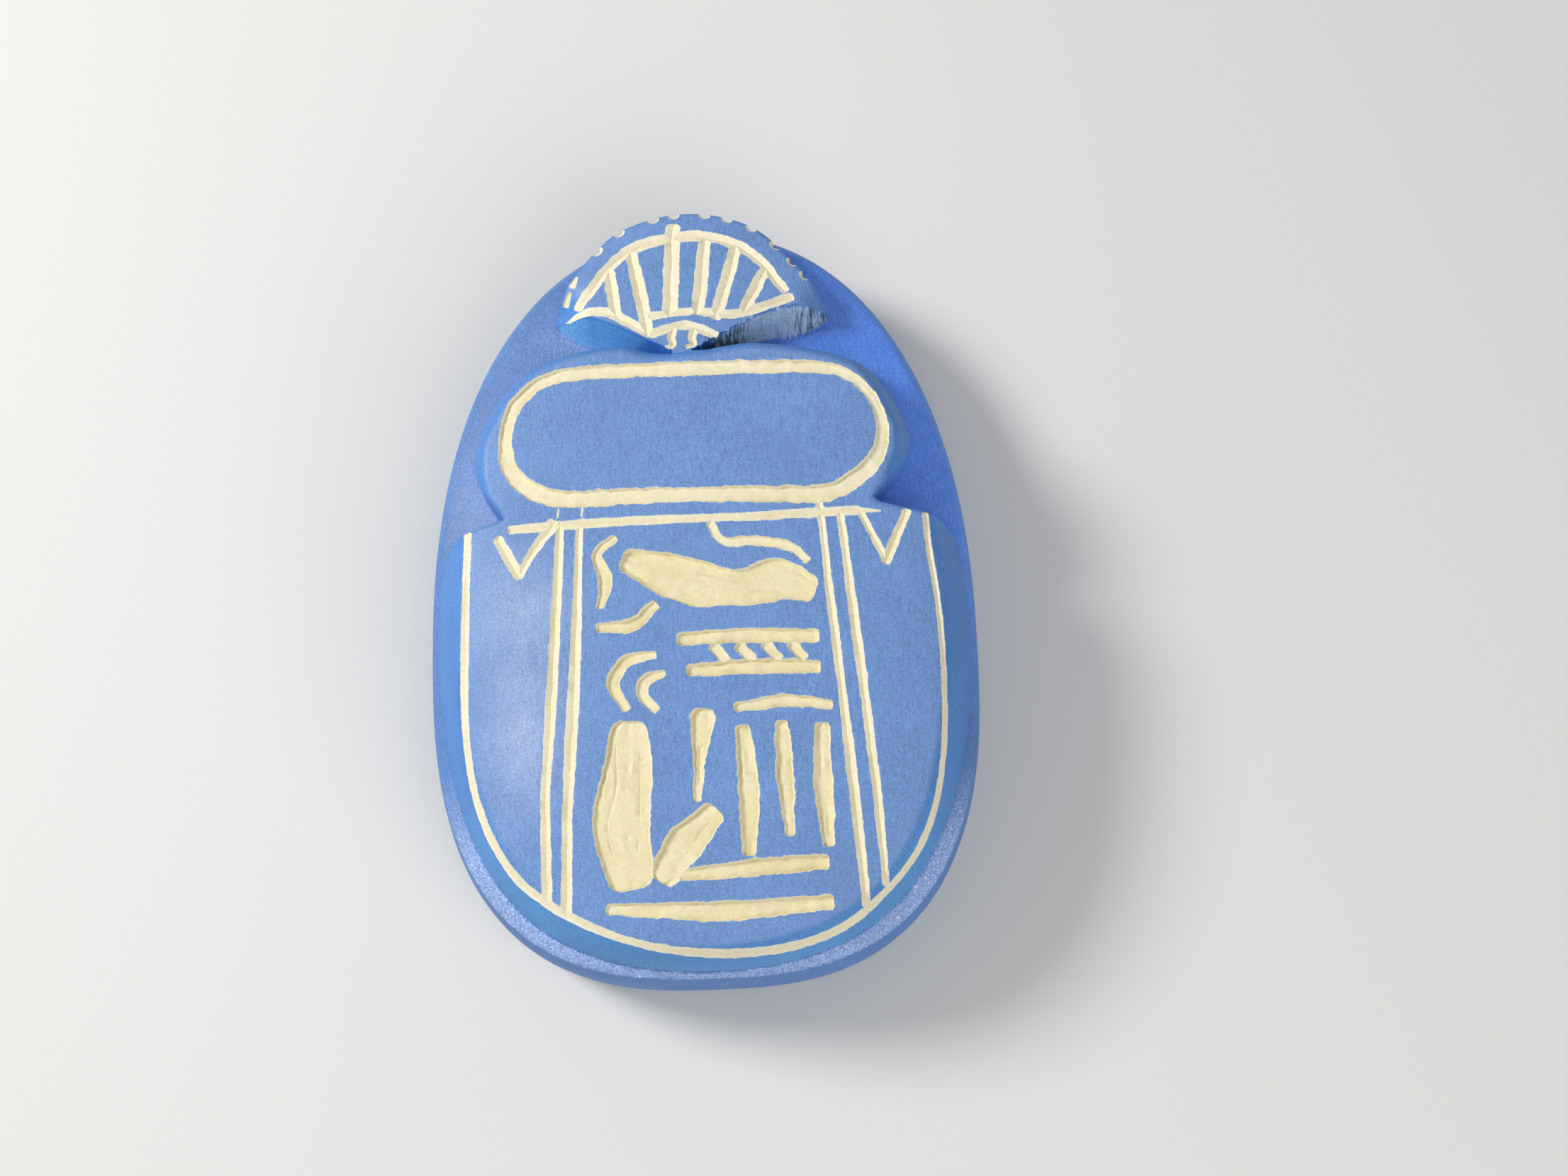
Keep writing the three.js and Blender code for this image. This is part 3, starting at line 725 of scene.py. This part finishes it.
def scratches():
    """Two ticks that overran the shoulder line, and a scratch too shallow to reach the stone."""
    for x in (-16.4, -13.6):
        cut([(x, 5.1), (x + 0.1, 6.2)], back_z, (0.16, 0.26, 0.14), depth=0.06, ragged=0.03)
    cut([(-24.6, -27.5), (-19.8, -23.9)], back_z, (0.1, 0.16, 0.1), depth=0.04, ragged=0.02)
    finish_of(cutters[-1], 0)


def bite(centre, foot, mouth, tall, rise):
    """A cone that cuts the edge of the head plate; its wide end stands clear of the plate."""
    top = plate_z(centre[None])[0]
    deselect()
    bpy.ops.mesh.primitive_cone_add(
        vertices=18, radius1=foot * MM, radius2=mouth * MM, depth=tall * MM,
        location=(*(centre * MM), (top + rise - tall / 2) * MM))
    cone = bpy.context.object
    finish(cone, 1)
    cutters.append(cone)


def nicks():
    """Small bites that scallop the front edge of the head plate, and two drops beside its left corner."""
    front = smooth_through(PLATE_FRONT)
    along = front[front[:, 1] > 33]
    for x in NICKS_X:
        at = int(np.argmin(np.abs(along[:, 0] - x)))
        tangent = along[at + 1] - along[at - 1]
        out = np.array([tangent[1], -tangent[0]]) / np.linalg.norm(tangent)
        centre = along[at] + out * 0.3
        bite(centre, foot=0.5, mouth=random.uniform(0.8, 0.95), tall=3.2, rise=0.5)
        bite(centre, foot=0.3, mouth=1.2, tall=1.2, rise=0.35)
    for x, y in ((-14.5, 37), (-15.4, 35.1)):
        drop = [(x - 0.3, y - 0.5), (x + 0.2, y + 0.5)]
        cut(drop, plate_z, (0.95, 0.6), depth=0.4, floored=True, ragged=0.06)


# ---------------------------------------------------------------- materials

def linear(hex_colour):
    """A linear colour from an sRGB hex value."""
    parts = [int(hex_colour[i:i + 2], 16) / 255 for i in (1, 3, 5)]
    return (*[c / 12.92 if c <= 0.04045 else ((c + 0.055) / 1.055) ** 2.4 for c in parts], 1)


def node(tree, kind, links=None, **settings):
    """Adds a node with its settings, and links its inputs from other nodes' outputs."""
    n = tree.nodes.new(kind)
    for name, value in settings.items():
        if name == "inputs":
            for key, v in value.items():
                n.inputs[key].default_value = v
        else:
            setattr(n, name, value)
    for key, source in (links or {}).items():
        tree.links.new(source, n.inputs[key])
    return n


def per(length):
    """Texture scale of a pattern whose features are this many millimetres apart."""
    return 1 / (length * MM)


def new_material(name):
    """A material with its nodes and its shader."""
    m = bpy.data.materials.new(name)
    m.use_nodes = True
    return m, m.node_tree, m.node_tree.nodes["Principled BSDF"]


def blues_and_painted_light(t, lies):
    """
    The flanks keep the blue of the firing, with painted light that makes the right one lighter and more
    violet. The steep sides carry painted shade in azure, painted light makes them palest on the tail and
    the left scoop, and the torn scoop is grey.
    """
    # Painted light: the right flank, turned away from the key lamp, is lighter and more violet.
    flank = node(t, "ShaderNodeMixRGB", {"Fac": lies["violet"]},
                 inputs={"Color1": linear("#5077b0"), "Color2": linear("#5386e4")}).outputs["Color"]
    colour = node(t, "ShaderNodeMixRGB", {"Fac": lies["flank"], "Color2": flank},
                  inputs={"Color1": linear("#6a8dc2")}).outputs["Color"]
    # Painted shade on the steep sides and painted light on the tail and the left scoop; the torn scoop is
    # grey.
    for part, tint in (("steep", "#447ec4"), ("azure", "#5c9fd2"), ("torn", "#b6cde4")):
        colour = node(t, "ShaderNodeMixRGB", {"Fac": lies[part], "Color1": colour},
                      inputs={"Color2": linear(tint)}).outputs["Color"]
    return colour


def with_fibres(t, colour, lies, position):
    """Dark fibres run down the ends of the torn scoop, and dirt fills the hollow beside the scroll."""
    downhill = node(t, "ShaderNodeMapping", {"Vector": position},
                    inputs={"Scale": (1, 0.15, 0.15), "Rotation": (0, 0, math.radians(-25))})
    fibre = node(t, "ShaderNodeTexNoise", {"Vector": downhill.outputs["Vector"]},
                 inputs={"Scale": per(FIBRE_SIZE), "Detail": 3})
    fibre = node(t, "ShaderNodeMapRange", {"Value": fibre.outputs["Fac"]},
                 inputs={"From Min": 0.42, "From Max": 0.56, "To Min": 0.85, "To Max": 0})
    share = node(t, "ShaderNodeMath", {0: fibre.outputs["Result"], 1: lies["dirt"]}, operation="MULTIPLY")
    return node(t, "ShaderNodeMixRGB", {"Fac": share.outputs["Value"], "Color1": colour},
                inputs={"Color2": linear("#2c4450")}).outputs["Color"]


def with_painted_sheen(t, colour, lies, cloud):
    """A painted lilac sheen, a highlight on the left wing case."""
    sheen_share = node(t, "ShaderNodeMath", {0: lies["painted_sheen"], 1: cloud}, operation="MULTIPLY").outputs["Value"]
    return node(t, "ShaderNodeMixRGB", {"Fac": sheen_share, "Color1": colour},
                inputs={"Color2": linear("#aebad6")}).outputs["Color"]


def with_powder(t, colour, lies, grain):
    """Powdery pale grain on the shelf behind the tail."""
    powder = node(t, "ShaderNodeMapRange", {"Value": grain},
                  inputs={"From Min": 0.3, "From Max": 0.7, "To Min": 0.3}).outputs["Result"]
    share = node(t, "ShaderNodeMath", {0: powder, 1: lies["grit"]}, operation="MULTIPLY").outputs["Value"]
    return node(t, "ShaderNodeMixRGB", {"Fac": share, "Color1": colour},
                inputs={"Color2": linear("#a9c0ec")}).outputs["Color"]


def with_specks(t, colour, lies, position):
    """White and lilac specks on the shelf and the flanks."""
    cells = node(t, "ShaderNodeTexVoronoi", {"Vector": position}, inputs={"Scale": per(SPECK_STEP)})
    speck = node(t, "ShaderNodeMapRange", {"Value": cells.outputs["Distance"]},
                 inputs={"From Min": 0.1, "From Max": 0.2, "To Min": 0.85, "To Max": 0}).outputs["Result"]
    share = node(t, "ShaderNodeMath", {0: speck, 1: lies["grit"]}, operation="MULTIPLY").outputs["Value"]
    tint = node(t, "ShaderNodeMixRGB", {"Fac": cells.outputs["Color"]},
                inputs={"Color1": linear("#e9effc"), "Color2": linear("#b493d6")}).outputs["Color"]
    return node(t, "ShaderNodeMixRGB", {"Fac": share, "Color1": colour, "Color2": tint}).outputs["Color"]


def with_crease_shade_and_chips(t, colour, lies, grain):
    """Painted shade in the crease at the foot of the steep sides, and a thin pale edge where the coat is
    chipped.
    """
    colour = node(t, "ShaderNodeMixRGB", {"Fac": lies["crease"], "Color1": colour},
                  inputs={"Color2": linear("#24447c")}).outputs["Color"]
    brink = node(t, "ShaderNodeMapRange", {"Value": lies["rim"]}, inputs={"From Min": 0.7}).outputs["Result"]
    patchy = node(t, "ShaderNodeMapRange", {"Value": grain},
                  inputs={"From Min": 0.35, "From Max": 0.65}).outputs["Result"]
    chipped = node(t, "ShaderNodeMath", {0: patchy, 1: brink}, operation="MULTIPLY").outputs["Value"]
    return node(t, "ShaderNodeMixRGB", {"Fac": chipped, "Color1": colour},
                inputs={"Color2": linear("#d4dfd0")}).outputs["Color"]


def blue_coat():
    """Baked blue coat: rubbed satin on the flat tops, deeper blue flanks, painted shade on the steep sides.
    """
    m, t, shader = new_material("worn_blue_coat")
    position = node(t, "ShaderNodeTexCoord").outputs["Object"]
    lies = {}
    for name in COAT_ATTRIBUTES:
        lies[name] = node(t, "ShaderNodeAttribute", attribute_name=name).outputs["Fac"]
    grain = node(t, "ShaderNodeTexNoise", {"Vector": position},
                 inputs={"Scale": per(GRAIN_SIZE), "Detail": 2}).outputs["Fac"]
    # Rubbed lengthwise: the grain is drawn out along the body.
    lengthwise = node(t, "ShaderNodeMapping", {"Vector": position}, inputs={"Scale": (1, 0.2, 1)})
    brushed = node(t, "ShaderNodeTexNoise", {"Vector": lengthwise.outputs["Vector"]},
                   inputs={"Scale": per(RUBBING_SIZE), "Detail": 1}).outputs["Fac"]
    # Uneven thickness of the coat.
    cloud = node(t, "ShaderNodeTexNoise", {"Vector": position},
                 inputs={"Scale": per(COAT_CLOUD_SIZE), "Detail": 3}).outputs["Fac"]

    colour = with_fibres(t, blues_and_painted_light(t, lies), lies, position)
    colour = with_painted_sheen(t, colour, lies, cloud)
    colour = with_powder(t, colour, lies, grain)
    colour = with_specks(t, colour, lies, position)
    # Grain, rubbing and thickness each lighten and darken the coat a little.
    for pattern, low_tone, high_tone in ((grain, 0.78, 1.22), (brushed, 0.92, 1.08), (cloud, 0.94, 1.06)):
        tone = node(t, "ShaderNodeMapRange", {"Value": pattern},
                    inputs={"From Min": 0.3, "From Max": 0.7, "To Min": low_tone, "To Max": high_tone})
        colour = node(t, "ShaderNodeVectorMath", {"Vector": colour, "Scale": tone.outputs["Result"]},
                      operation="SCALE").outputs["Vector"]
    colour = with_crease_shade_and_chips(t, colour, lies, grain)
    t.links.new(colour, shader.inputs["Base Color"])

    roughness = node(t, "ShaderNodeMapRange", {"Value": brushed},
                     inputs={"From Min": 0.3, "From Max": 0.7, "To Min": 0.48, "To Max": 0.62})
    t.links.new(roughness.outputs["Result"], shader.inputs["Roughness"])
    # The bumps are three times as tall on the shelf.
    height = node(t, "ShaderNodeMath", {0: grain, 1: brushed}, operation="ADD").outputs["Value"]
    coarse = node(t, "ShaderNodeMapRange", {"Value": lies["grit"]}, inputs={"To Min": 1, "To Max": 3})
    height = node(t, "ShaderNodeMath", {0: height, 1: coarse.outputs["Result"]}, operation="MULTIPLY")
    bump = node(t, "ShaderNodeBump", {"Height": height.outputs["Value"]},
                inputs={"Strength": 0.5, "Distance": COAT_BUMP * MM})
    t.links.new(bump.outputs["Normal"], shader.inputs["Normal"])
    return m


def cream_stone():
    """Soft cream stone under the coat: dry and chalky, paler at the lips of a cut, with painted shade tanner
    on its floor.
    """
    m, t, shader = new_material("cut_cream_stone")
    position = node(t, "ShaderNodeTexCoord").outputs["Object"]
    cut_shade = node(t, "ShaderNodeAttribute", attribute_name="cut_shade").outputs["Fac"]
    grain = node(t, "ShaderNodeTexNoise", {"Vector": position},
                 inputs={"Scale": per(STONE_GRAIN_SIZE), "Detail": 3}).outputs["Fac"]
    patches = node(t, "ShaderNodeTexNoise", {"Vector": position},
                   inputs={"Scale": per(FLOOR_PATCH_SIZE), "Detail": 2}).outputs["Fac"]
    # Painted shade: the deeper a point lies in a cut, the tanner it is.
    colour = node(t, "ShaderNodeMixRGB", {"Fac": cut_shade},
                  inputs={"Color1": linear("#ebe3ca"), "Color2": linear("#e6daae")}).outputs["Color"]
    # In patches the floors of the cuts are tanner still.
    floor_patches = node(t, "ShaderNodeMapRange", {"Value": patches},
                inputs={"From Min": 0.45, "From Max": 0.7, "To Max": 0.5}).outputs["Result"]
    floor_patches = node(t, "ShaderNodeMath", {0: floor_patches, 1: cut_shade}, operation="MULTIPLY").outputs["Value"]
    colour = node(t, "ShaderNodeMixRGB", {"Fac": floor_patches, "Color1": colour},
                  inputs={"Color2": linear("#d9ca9c")}).outputs["Color"]
    tone = node(t, "ShaderNodeMapRange", {"Value": grain},
                inputs={"From Min": 0.3, "From Max": 0.7, "To Min": 0.93, "To Max": 1.05})
    colour = node(t, "ShaderNodeVectorMath", {"Vector": colour, "Scale": tone.outputs["Result"]},
                  operation="SCALE").outputs["Vector"]
    t.links.new(colour, shader.inputs["Base Color"])
    shader.inputs["Roughness"].default_value = 0.88
    bump = node(t, "ShaderNodeBump", {"Height": grain}, inputs={"Strength": 0.5, "Distance": STONE_BUMP * MM})
    t.links.new(bump.outputs["Normal"], shader.inputs["Normal"])
    return m


# ---------------------------------------------------------------- the piece

BLUE = blue_coat()
CREAM = cream_stone()
cutters = []


def blue_normals(mesh):
    """Upward part of each vertex's normal over its blue faces, and whether it has blue and cream faces."""
    faces = len(mesh.polygons)
    totals, kinds, normals = np.empty(faces, int), np.empty(faces, int), np.empty(faces * 3)
    areas, corners = np.empty(faces), np.empty(len(mesh.loops), int)
    mesh.polygons.foreach_get("loop_total", totals)
    mesh.polygons.foreach_get("material_index", kinds)
    mesh.polygons.foreach_get("normal", normals)
    mesh.polygons.foreach_get("area", areas)
    mesh.loops.foreach_get("vertex_index", corners)
    face_of = np.repeat(np.arange(faces), totals)
    blue = kinds[face_of] == 0
    weighted = (normals.reshape(-1, 3) * areas[:, None])[face_of]
    total = np.zeros((len(mesh.vertices), 3))
    np.add.at(total, corners[blue], weighted[blue])
    has_blue, has_cream = np.zeros(len(total), bool), np.zeros(len(total), bool)
    has_blue[corners[blue]] = True
    has_cream[corners[~blue]] = True
    return total[:, 2] / np.maximum(np.linalg.norm(total, axis=1), 1e-12), has_blue, has_cream


def spot(plan, centre, spread):
    """1 at a centre, fading out over a spread in x and in y."""
    return np.exp(-np.sum(((plan - centre) / spread) ** 2, axis=1))


def in_scoop(x, y, crest, foot_y, start_x, end_x):
    """Whether each point lies between the crest and the foot of a scoop."""
    crest_y = np.interp(x, *zip(*crest))
    return (x > start_x) & (x < end_x) & (y < crest_y - 0.1) & (y > foot_y)


def dirt_by_scroll(x, y):
    """The small hollow to the right of the scroll."""
    across = smoothstep(x, 0.3, 1.2) * smoothstep(x, 3.6, 3)
    return across * smoothstep(y, 28.6, 28.2) * smoothstep(y, 26, 26.6)


def how_sunk(plan, z):
    """Depth of each point in a cut, for its painted shade; cuts on the shield and plate stay paler to the
    floor.
    """
    y = plan[:, 1]
    coat_z = np.where(y > PLATE_START_Y, plate_z(plan), back_z(plan))
    return np.clip((coat_z - z) / BROAD_DEPTH, 0, 1) * (1 - 0.45 * smoothstep(y, 5, 9))


def record_finish(body):
    """Stores on the mesh where each part of the finish lies."""
    co = coordinates(body)
    x, y, z = co.T
    plan = co[:, :2]
    up, has_blue, has_cream = blue_normals(body.data)
    on_base = (z < base_z(plan) + 0.3).astype(float)
    edges = np.vstack([line for _, line in BACK_EDGES])
    gap = np.minimum(distance(plan, edges), distance(plan, plate_outline()))
    tail = smoothstep(y, -22, -36)
    beside_shield = spot(plan, (-26, 9), (4, 9)) + spot(plan, (-15, 30), (6, 3))
    right_foot_y = np.interp(x, *zip(*RIGHT_FOOT))
    in_torn = in_scoop(x, y, RIGHT_CREST, right_foot_y - 0.2, 2.2, 16.6) & (on_base == 0)
    in_left = in_scoop(x, y, LEFT_CREST, 28, -17, -4) & (on_base == 0)
    ends = 1 - smoothstep(x, 5, 7.4) * smoothstep(x, 14, 11)
    top = smoothstep(up, 0.3, 0.6)
    values = {
        # steep: where painted shade falls on the steep sides.
        "steep": smoothstep(1 - up, 0.03, 0.4) * (1 - 0.6 * on_base),
        "flank": on_base,
        # violet: where painted light makes the right flank lighter and more violet.
        "violet": smoothstep(x, -12, 18) * smoothstep(y, -20, 0),
        # azure: where painted light makes the left scoop and the steep tail walls paler.
        "azure": np.clip(in_left + 0.4 * (1 - on_base) * smoothstep(1 - up, 0.1, 0.5) * tail, 0, 0.8),
        "grit": on_base * top * np.clip(0.08 + tail + 0.25 * beside_shield, 0, 1),
        # crease: painted shade along the foot of the back and the plate.
        "crease": 0.8 * on_base * top * np.clip(1 - gap / CREASE_WIDTH, 0, 1),
        "rim": (has_blue & has_cream & (up > 0.7)).astype(float),
        # Painted sheen: a lighter lilac band on the left wing case.
        "painted_sheen": np.exp(-((x + 20.5) / 4.5) ** 2) * smoothstep(y, -36, -18) * smoothstep(y, 5, -5),
        "torn": in_torn.astype(float),
        "dirt": np.clip(in_torn * (0.15 + ends) + dirt_by_scroll(x, y), 0, 1),
        # Painted shade in the cuts, deeper towards their floors.
        "cut_shade": has_cream * how_sunk(plan, z),
    }
    for name, value in values.items():
        attribute = body.data.attributes.new(name, "FLOAT", "POINT")
        attribute.data.foreach_set("value", value)


def carving():
    """The whole carving: the tiers are joined, every line is cut, and the finish is laid on."""
    body = base_tier()
    plate = plate_tier()
    combine(plate, scoop("left_scoop", LEFT_CREST, LEFT_FOOT, torn=0), "DIFFERENCE")
    combine(plate, scoop("right_scoop", RIGHT_CREST, RIGHT_FOOT, torn=1), "DIFFERENCE")
    combine(body, plate, "UNION")
    combine(body, back_tier(), "UNION")
    cartouche()
    margin()
    shoulder_lines()
    panel_strokes()
    floor_lines()
    fan()
    nicks()
    scratches()
    for cutter in cutters:
        combine(body, cutter, "DIFFERENCE")
    record_finish(body)
    co = coordinates(body)
    co[:, 1] -= MIDDLE_Y
    place(body, co)
    body.name = body.data.name = "scarab_carving"
    only(body)
    bpy.ops.object.shade_smooth_by_angle(angle=SMOOTH_ANGLE)
    return body


def lamp(name, place_mm, size_mm, power):
    """A round soft lamp that faces the carving."""
    data = bpy.data.lights.new(name, "AREA")
    data.shape = "DISK"
    data.size = size_mm * MM
    data.energy = power
    light = bpy.data.objects.new(name, data)
    bpy.context.scene.collection.objects.link(light)
    place_v, aim = Vector(place_mm) * MM, Vector(LAMP_AIM) * MM
    light.location = place_v
    light.rotation_euler = (aim - place_v).to_track_quat("-Z", "Y").to_euler()


def camera():
    """Looks down steeply from behind the tail."""
    level = math.cos(CAMERA_ELEVATION)
    back = Vector((
        math.sin(CAMERA_AZIMUTH) * level, -math.cos(CAMERA_AZIMUTH) * level, math.sin(CAMERA_ELEVATION),
    ))
    data = bpy.data.cameras.new("camera")
    data.lens, data.sensor_width = 50, 36
    data.clip_start = 0.01
    cam = bpy.data.objects.new("camera", data)
    bpy.context.scene.collection.objects.link(cam)
    cam.location = (Vector(CAMERA_AIM) + back * CAMERA_DISTANCE) * MM
    cam.rotation_euler = back.to_track_quat("Z", "Y").to_euler()
    bpy.context.scene.camera = cam


def floor():
    """A pale matt board, 3 m across."""
    deselect()
    bpy.ops.mesh.primitive_plane_add(size=3)
    piece = bpy.context.object
    piece.name = "floor"
    m, _, shader = new_material("pale_matt_board")
    shader.inputs["Base Color"].default_value = linear("#dcdad5")
    shader.inputs["Roughness"].default_value = 0.9
    piece.data.materials.append(m)


def studio():
    """A key lamp to the upper left, a large fill lamp to the lower right, and a dim pale sky."""
    lamp("key", place_mm=(-420, 170, 380), size_mm=180, power=2.8)
    lamp("fill", place_mm=(260, -420, 420), size_mm=600, power=1.9)
    world = bpy.data.worlds.new("studio")
    bpy.context.scene.world = world
    world.use_nodes = True
    sky = world.node_tree.nodes["Background"]
    sky.inputs["Color"].default_value = linear("#e9eef6")
    sky.inputs["Strength"].default_value = 0.4


scarab = carving()
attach(scarab, "root")
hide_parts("scarab")
floor()
studio()
camera()
bpy.context.scene.view_settings.view_transform = "Standard"
